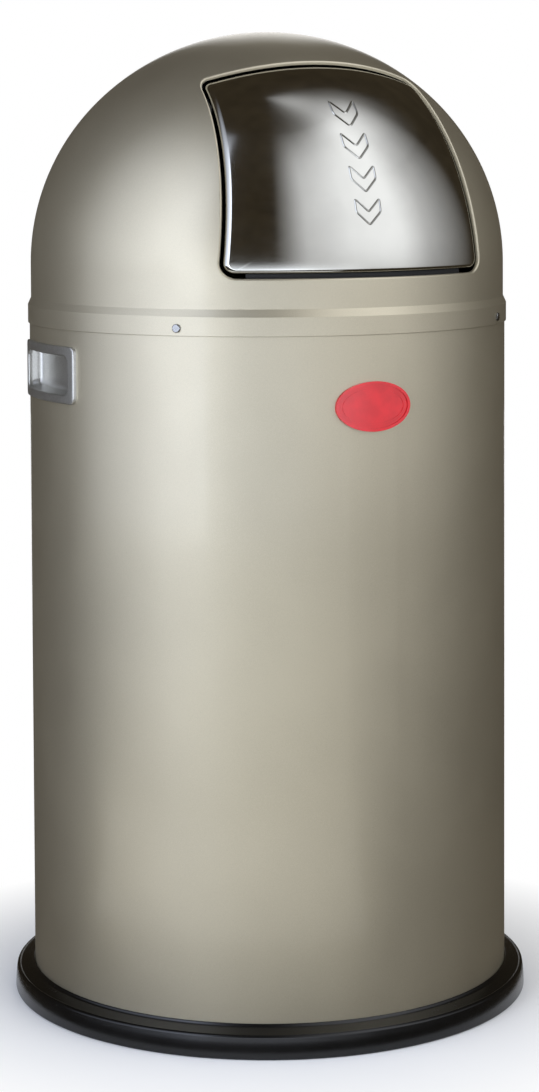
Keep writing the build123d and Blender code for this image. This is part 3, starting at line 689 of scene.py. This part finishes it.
# Corners (radius, height, rounding) from the foot's inner edge outwards and over the top
RING_SECTION = [
    (179.0, 0.0, 0.6), (202.9, 0.0, 1.2), (202.6, 10.0, 6.0), (201.6, 16.6, 0.9), (199.6, 18.0, 0.7),
    (198.9, 17.5, 0.4), (189.6, 20.3, 1.6), (188.9, 22.3, 0.9), (187.85, 22.3, 0.4), (187.85, 7.0, 0.3),
    (186.4, 7.0, 0.3), (186.4, 18.0, 0.3), (183.4, 18.0, 0.3), (183.4, 7.0, 0.3), (179.0, 7.0, 0.6),
]


def turned_piece(name, section, count, material):
    """Turn a closed section round the bin's axis."""
    points, normals, faces = [], [], []
    rows = len(section)
    for j, p in enumerate(section):
        way = (section[(j + 1) % rows] - section[j - 1]).normalized()
        for i in range(count):
            a = 2 * math.pi * i / count
            points.append(Vector((math.sin(a) * p.x, -math.cos(a) * p.x, p.y)))
            normals.append(Vector((math.sin(a) * way.y, -math.cos(a) * way.y, -way.x)))
    for j in range(rows):
        a, b = j * count, (j + 1) % rows * count
        faces += [(a + i, a + (i + 1) % count, b + (i + 1) % count, b + i) for i in range(count)]
    piece = mesh_piece(name, points, faces, material)
    piece.data.normals_split_custom_set_from_vertices([tuple(n) for n in normals])
    return piece


GRIP_LOW = 472.5
GRIP_HIGH = 516.0
GRIP_HALF = 50.8
GRIP_FACE = 190.1
GRIP_BACK = 174.2
RECESS_LOW = 479.1
RECESS_HIGH = 508.7
RECESS_HALF = 42.3
UNDERCUT = 3.6
GRIP_CORNER = 5.0
DRUM_FACE = 187.2
BEZEL_ROUND = 1.0
RECESS_ROUND = 1.3
FOOT_ROUND = 3.5


def rounded_loop(half, low, high, corner):
    """Give a rounded rectangle's outline as (sideways, height) points, always equally many."""
    def centre_of(x, z):
        return Vector((x - math.copysign(corner, x), z + (corner if z == low else -corner)))

    points = []
    corners = [(half, low, -90), (half, high, 0), (-half, high, 90), (-half, low, 180)]
    steps, upright_parts, level_parts = 8, 14, 40
    for i, (x, z, start) in enumerate(corners):
        arc = [centre_of(x, z) + direction(start + 90 * k / steps) * corner for k in range(steps + 1)]
        x, z, start = corners[(i + 1) % 4]
        following = centre_of(x, z) + direction(start) * corner
        parts = upright_parts if i % 2 == 0 else level_parts
        points += arc + [arc[-1] + (following - arc[-1]) * (k / parts) for k in range(1, parts)]
    return points


def flat_reach(reach):
    """Give a flat face's reach from the axis, wherever it is."""
    return lambda x: reach


def curved_reach(radius):
    """Give a curved face's reach from the axis, by the place sideways."""
    return lambda x: math.sqrt(radius * radius - x * x)


def recess_reach(share, drop=0.0):
    """Give the reach a share of the way from the drum's face to the recess's foot, and then a drop below."""
    def reach(x):
        start = curved_reach(DRUM_FACE)(x)
        return start + (GRIP_BACK + FOOT_ROUND - start) * share + drop
    return reach


def grip_shell(name, side, material):
    """Finger grip: a curved bezel with rounded edges round a deep recess that is undercut at its top."""
    middle = Vector((0, (RECESS_LOW + RECESS_HIGH) / 2))

    def shrunk(loop, share):
        return [middle + (p - middle) * share for p in loop]

    def bezel(inset):
        return rounded_loop(GRIP_HALF - inset, GRIP_LOW + inset, GRIP_HIGH - inset, GRIP_CORNER - inset)

    def mouth(out):
        return rounded_loop(RECESS_HALF + out, RECESS_LOW - out, RECESS_HIGH + out, GRIP_CORNER + out)

    def recess(inset, lift):
        top = RECESS_HIGH + UNDERCUT + lift
        return rounded_loop(RECESS_HALF - inset, RECESS_LOW + inset, top, GRIP_CORNER)

    wall, taper, closing = 1.5, 1.6, 0.02
    behind = recess(-wall, wall)
    back, face = flat_reach(GRIP_BACK - wall), curved_reach(DRUM_FACE)
    loops = [(shrunk(behind, closing), back), (behind, back), (behind, face), (bezel(0), face)]
    loops.append((bezel(0), curved_reach(GRIP_FACE - BEZEL_ROUND)))
    steps = 6
    for k in range(1, steps + 1):
        turn = math.pi * k / (2 * steps)
        loops.append((bezel(BEZEL_ROUND * (1 - math.cos(turn))),
                      curved_reach(GRIP_FACE - BEZEL_ROUND + BEZEL_ROUND * math.sin(turn))))
    loops += [(bezel(3.0), curved_reach(GRIP_FACE)), (mouth(2.4), curved_reach(GRIP_FACE))]
    for k in range(steps + 1):
        turn = math.pi * k / (2 * steps)
        loops.append((mouth(RECESS_ROUND * (1 - math.sin(turn))),
                      curved_reach(GRIP_FACE - RECESS_ROUND * (1 - math.cos(turn)))))
    loops.append((mouth(0), curved_reach(DRUM_FACE + 0.4)))
    steps = 4
    for k in range(steps + 1):
        inset = taper * k / steps
        loops.append((recess(inset, -inset * 0.3), recess_reach(k / steps)))
    steps = 7
    for k in range(1, steps + 1):
        turn = math.pi * k / (2 * steps)
        inset = taper + FOOT_ROUND * (1 - math.cos(turn))
        loops.append((recess(inset, -inset * 0.3), recess_reach(1.0, -FOOT_ROUND * math.sin(turn))))
    foot = loops[-1][0]
    loops += [(shrunk(foot, share), recess_reach(1.0, -FOOT_ROUND)) for share in (0.5, closing)]
    points = [(side * reach(p.x), side * p.x, p.y) for loop, reach in loops for p in loop]
    count = len(loops[0][0])
    faces = closed_rings(len(loops), count)
    last = (len(loops) - 1) * count
    faces += [tuple(reversed(range(count))), tuple(range(last, last + count))]
    piece = mesh_piece(name, points, faces, material)
    piece.data.set_sharp_from_angle(angle=math.radians(38))
    return piece


# Scene
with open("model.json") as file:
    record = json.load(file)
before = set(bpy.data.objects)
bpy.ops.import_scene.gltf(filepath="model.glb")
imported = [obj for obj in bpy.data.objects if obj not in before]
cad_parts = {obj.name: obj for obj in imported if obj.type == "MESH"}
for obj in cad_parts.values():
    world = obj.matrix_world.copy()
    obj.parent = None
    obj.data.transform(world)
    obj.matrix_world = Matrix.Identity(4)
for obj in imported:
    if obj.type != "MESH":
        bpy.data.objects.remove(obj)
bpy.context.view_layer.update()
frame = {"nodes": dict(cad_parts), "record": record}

CHAMPAGNE = (0.53, 0.481, 0.36)
slots = {
    "drum_paint": metallic_paint("drum_paint", CHAMPAGNE),
    "hood_paint": metallic_paint("hood_paint", CHAMPAGNE),
    "ring_rubber": moulded("ring_rubber", (0.002, 0.002, 0.002), 0.2, 0.28, 500.0, Specular_IOR_Level=0.45),
    "grip_plastic": moulded("grip_plastic", (0.504, 0.497, 0.462), 0.3, 0.38, 900.0, 0.000008, Metallic=0.9),
    "zinc_steel": plated_steel("zinc_steel", (0.62, 0.63, 0.64)),
    "screw_steel": plated_steel("screw_steel", (0.26, 0.26, 0.255), 0.2, 0.34),
    "badge_enamel": enamel("badge_enamel", (0.56, 0.008, 0.014)),
    "collar_plastic": moulded("collar_plastic", (0.02, 0.02, 0.02), 0.4, 0.55),
    "bush_plastic": moulded("bush_plastic", (0.68, 0.66, 0.6), 0.4, 0.5),
    "buffer_rubber": moulded("buffer_rubber", (0.02, 0.02, 0.02), 0.55, 0.7),
    "flap_steel": polished_steel("flap_steel", (0.524, 0.516, 0.476)),
    "axle_steel": plated_steel("axle_steel", (0.60, 0.61, 0.62), 0.18, 0.3),
    "spring_steel": plated_steel("spring_steel", (0.40, 0.41, 0.43), 0.25, 0.4),
    "galvanised": galvanised_steel("galvanised", (0.56, 0.58, 0.59)),
    "bail_plastic": moulded("bail_plastic", (0.02, 0.02, 0.02), 0.35, 0.5),
}
for subpart in frame["record"]["subparts"]:
    node = frame["nodes"][subpart["node"]]
    node.data.materials.clear()
    node.data.materials.append(slots[subpart["material_slot"]])

flap = flap_panel(slots["flap_steel"])
marks = flap_marks(slots["flap_steel"])
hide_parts("flap_skin")
for piece in (flap, marks):
    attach(piece, "flap")
# The lip's dark rubber is painted shade in the gap under the flap
foot = flap_lip_painted_shade(slots["buffer_rubber"])
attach(foot, "flap")

hood = hood_shell(slots["hood_paint"])
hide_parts("hood")
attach(hood, "lid")

ring = turned_piece("ring_profile", rounded_corners(RING_SECTION, 7), 240, slots["ring_rubber"])
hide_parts("base_ring")
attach(ring, "drum")

for side, node in ((-1, "grip_left"), (1, "grip_right")):
    grip = grip_shell(node + "_shell", side, slots["grip_plastic"])
    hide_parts(node)
    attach(grip, "drum")


# Light, floor and background
VIEW_AZIMUTH = -24.5


def around(azimuth, distance, level):
    """Give a place at this azimuth from the flap's front, measured from the camera's direction."""
    a = math.radians(VIEW_AZIMUTH + azimuth)
    return Vector((math.sin(a) * distance, -math.cos(a) * distance, level))


STUDIO_RADIUS = 2.6
STUDIO_MIDDLE = 0.45


def light_card(name, sideways, upwards, strength, colour=(1.0, 1.0, 1.0)):
    """Hang a large curved soft light, hidden from the camera and casting no shadow.

    Its ramps of brightness run over azimuth and over elevation, in degrees, and are multiplied.
    """
    n = Nodes(name)
    place = n.new("UVMap")
    place.uv_map = "spread"
    axes = n.new("SeparateXYZ")
    n.link(place.outputs["UV"], axes.inputs["Vector"])
    parts = []
    for axis, angles, interpolation in (("X", sideways, "LINEAR"), ("Y", upwards, "B_SPLINE")):
        first, last = angles[0][0], angles[-1][0]
        stops = [((angle - first) / (last - first), (level, level, level)) for angle, level in angles]
        parts.append(n.ramp(axes.outputs[axis], *stops, interpolation=interpolation))
    level = n.multiply(n.multiply(*parts), strength)
    emit = n.new("Emission")
    emit.inputs["Color"].default_value = (*colour, 1.0)
    n.link(level, emit.inputs["Strength"])
    both = n.new("AddShader")
    n.link(emit.outputs["Emission"], both.inputs[0])
    n.link(n.new("BsdfTransparent").outputs["BSDF"], both.inputs[1])
    n.link(both.outputs["Shader"], n.out.inputs["Surface"])
    wide, high = 24, 14
    points, uvs = [], []
    for j in range(high + 1):
        for i in range(wide + 1):
            azimuth = sideways[0][0] + (sideways[-1][0] - sideways[0][0]) * i / wide
            elevation = math.radians(upwards[0][0] + (upwards[-1][0] - upwards[0][0]) * j / high)
            place = around(azimuth, STUDIO_RADIUS * math.cos(elevation),
                           STUDIO_MIDDLE + STUDIO_RADIUS * math.sin(elevation))
            points.append(place / MILLIMETRE)
            uvs.append((i / wide, j / high))
    row = wide + 1
    faces = [(j * row + i, j * row + i + 1, (j + 1) * row + i + 1, (j + 1) * row + i)
             for j in range(high) for i in range(wide)]
    card = mesh_piece(name, points, faces, n.material)
    layer = card.data.uv_layers.new(name="spread")
    for loop in card.data.loops:
        layer.data[loop.index].uv = uvs[loop.vertex_index]
    card.visible_camera = False
    card.visible_shadow = False


light_card("left_softbox",
           [(-100, 0), (-86, 0.24), (-74, 0.36), (-61, 0.51), (-48, 0.73), (-40, 0.94), (-34, 1),
            (-29.5, 0.92), (-26, 0)],
           [(-9, 1), (0, 0.98), (12, 0.88), (34, 0.84), (44, 0.78), (54, 0.42), (66, 0)],
           3.25, (0.91, 1.0, 1.23))
light_card("right_softbox",
           [(4, 0), (10, 0.2), (19, 0.6), (30, 0.76), (41, 0.95), (53, 1), (66, 1), (82, 0.51), (97, 0.25),
            (114, 0)],
           [(-9, 0.35), (2, 0.72), (11, 0.93), (25, 0.97), (42, 1), (52, 0.75), (60, 0.32), (68, 0)],
           1.66, (0.968, 1.0, 1.075))
light_card("high_softbox",
           [(4, 0), (24, 0.1), (40, 0.28), (56, 0.66), (70, 0.98), (86, 0.95), (100, 0.64), (114, 0.2),
            (128, 0)],
           [(40, 0), (50, 0.3), (60, 0.95), (64, 1), (68, 0.78), (73, 0.48), (78, 0.46), (84, 0.5),
            (90, 0.2)],
           1.38, (0.968, 1.0, 1.075))
light_card("low_front_card",
           [(-36, 0), (-28, 1), (8, 0.88), (24, 0.4), (50, 0)],
           [(-9.5, 0.8), (-6, 1), (-1, 0.8), (4, 0)],
           3.7, (0.93, 1.0, 1.13))
light_card("low_left_card",
           [(-94, 0), (-76, 0.5), (-58, 0.7), (-42, 1), (-34, 0.9), (-26, 0)],
           [(-9.5, 1), (-6, 1), (-3.5, 0.4), (-1, 0)],
           1.25, (0.93, 1.0, 1.13))
light_card("rear_softbox",
           [(170, 0), (176, 1), (184, 1), (190, 0)],
           [(2, 0), (10, 1), (30, 1), (42, 0)],
           1.9)


def dark_cloth(name, points, faces):
    """Hang dark cloth in the studio, seen only in reflections."""
    n = Nodes(name)
    emit = n.new("Emission")
    emit.inputs["Color"].default_value = (0.049, 0.038, 0.0235, 1)
    n.link(n.spread(n.noise(3.0, 2.0), 0.8, 1.2), emit.inputs["Strength"])
    n.link(emit.outputs["Emission"], n.out.inputs["Surface"])
    cloth = mesh_piece(name, points, faces, n.material)
    cloth.visible_camera = False
    cloth.visible_diffuse = False
    cloth.visible_shadow = False
    cloth.visible_transmission = False


def studio_cloth():
    """Dark cloth over and round the studio, and on its floor except near its front and its back."""
    reach, turns, rows = 4.5, 48, 12
    sweep = 98
    points = [Vector((0, 0, reach)) / MILLIMETRE]
    for j in range(rows + 1):
        rise = math.radians(90 - sweep * (j + 1) / (rows + 1))
        out, up = reach * math.cos(rise), reach * math.sin(rise)
        points += [around(360 * i / turns, out, up) / MILLIMETRE for i in range(turns)]
    faces = [(0, 1 + (i + 1) % turns, 1 + i) for i in range(turns)]
    faces += closed_rings(rows + 1, turns, 1)
    dark_cloth("studio_tent", points, faces)
    radii, level = (0.215, 0.45, 0.85, 4.6), 0.002
    points = [around(360 * i / turns, r, level) / MILLIMETRE for r in radii for i in range(turns)]
    faces = []
    for j in range(len(radii) - 1):
        for i in range(turns):
            azimuth = (360 * (i + 0.5) / turns + 180) % 360 - 180
            front = j == 1 and -75 < azimuth < 40
            back = j > 0 and abs(azimuth) > 168
            if not (front or back):
                a, b = j * turns, (i + 1) % turns
                faces.append((a + i, a + b, a + turns + b, a + turns + i))
    dark_cloth("floor_cloth", points, faces)


studio_cloth()


def seen_directly(tree):
    """Give 1 for camera, glossy and transmission rays, and 0 for the others."""
    rays = tree.nodes.new("ShaderNodeLightPath").outputs
    seen = rays["Is Camera Ray"]
    for kind in ("Is Glossy Ray", "Is Transmission Ray"):
        either = tree.nodes.new("ShaderNodeMath")
        either.operation = "MAXIMUM"
        tree.links.new(seen, either.inputs[0])
        tree.links.new(rays[kind], either.inputs[1])
        seen = either.outputs[0]
    return seen


def floor_material():
    """Pale floor: matt near the bin, fading into the plain white background."""
    n = Nodes("floor_white")
    matt = n.new("BsdfDiffuse")
    pale = n.ramp(n.noise(4.0, 2.0), (0.3, (0.88, 0.88, 0.88)), (0.7, (0.9, 0.9, 0.9)))
    n.link(pale, matt.inputs["Color"])
    white = n.new("Emission")
    white.inputs["Strength"].default_value = 1.0
    length = n.new("VectorMath", operation="LENGTH")
    n.link(n.place, length.inputs[0])
    far = n.spread(length.outputs["Value"], 0.0, 1.0, 0.203, 0.36)
    mix = n.new("MixShader")
    n.link(n.multiply(far, seen_directly(n.tree)), mix.inputs["Fac"])
    n.link(matt.outputs["BSDF"], mix.inputs[1])
    n.link(white.outputs["Emission"], mix.inputs[2])
    n.link(mix.outputs["Shader"], n.out.inputs["Surface"])
    return n.material


def make_floor():
    """Lay a wide round floor just under the bin."""
    count, reach, level = 96, 40000.0, -0.3
    turns = [2 * math.pi * i / count for i in range(count)]
    points = [(reach * math.cos(turn), reach * math.sin(turn), level) for turn in turns]
    mesh_piece("floor", points, [tuple(range(count))], floor_material(), smooth=False)


make_floor()


def make_world():
    """White for what is seen, and a plain even light for the rest."""
    world = bpy.data.worlds.new("studio")
    bpy.context.scene.world = world
    world.use_nodes = True
    tree = world.node_tree
    tree.nodes.clear()
    out = tree.nodes.new("ShaderNodeOutputWorld")
    plain = tree.nodes.new("ShaderNodeBackground")
    plain.inputs["Strength"].default_value = 0.34
    white = tree.nodes.new("ShaderNodeBackground")
    white.inputs["Strength"].default_value = 1.0
    for node in (plain, white):
        node.inputs["Color"].default_value = (1, 1, 1, 1)
    mix = tree.nodes.new("ShaderNodeMixShader")
    tree.links.new(seen_directly(tree), mix.inputs["Fac"])
    tree.links.new(plain.outputs["Background"], mix.inputs[1])
    tree.links.new(white.outputs["Background"], mix.inputs[2])
    tree.links.new(mix.outputs["Shader"], out.inputs["Surface"])


make_world()


def make_camera():
    """Set the camera at the photograph's place and angle."""
    data = bpy.data.cameras.new("camera")
    data.lens = 91.06
    data.sensor_width = 36.0
    data.shift_x = 0.0024
    data.shift_y = -0.2436
    distance, height, tilt, roll_by = 2.18476, 0.67858, 3.1226, -0.255
    camera = bpy.data.objects.new("camera", data)
    camera.location = around(0, distance, height)
    turn = Euler((0, 0, math.radians(VIEW_AZIMUTH))).to_matrix()
    pitch = Euler((math.radians(90 - tilt), 0, 0)).to_matrix()
    roll = Euler((0, 0, math.radians(roll_by))).to_matrix()
    camera.rotation_euler = (turn @ pitch @ roll).to_euler()
    bpy.context.scene.collection.objects.link(camera)
    bpy.context.scene.camera = camera


make_camera()
bpy.context.scene.view_settings.view_transform = "Standard"
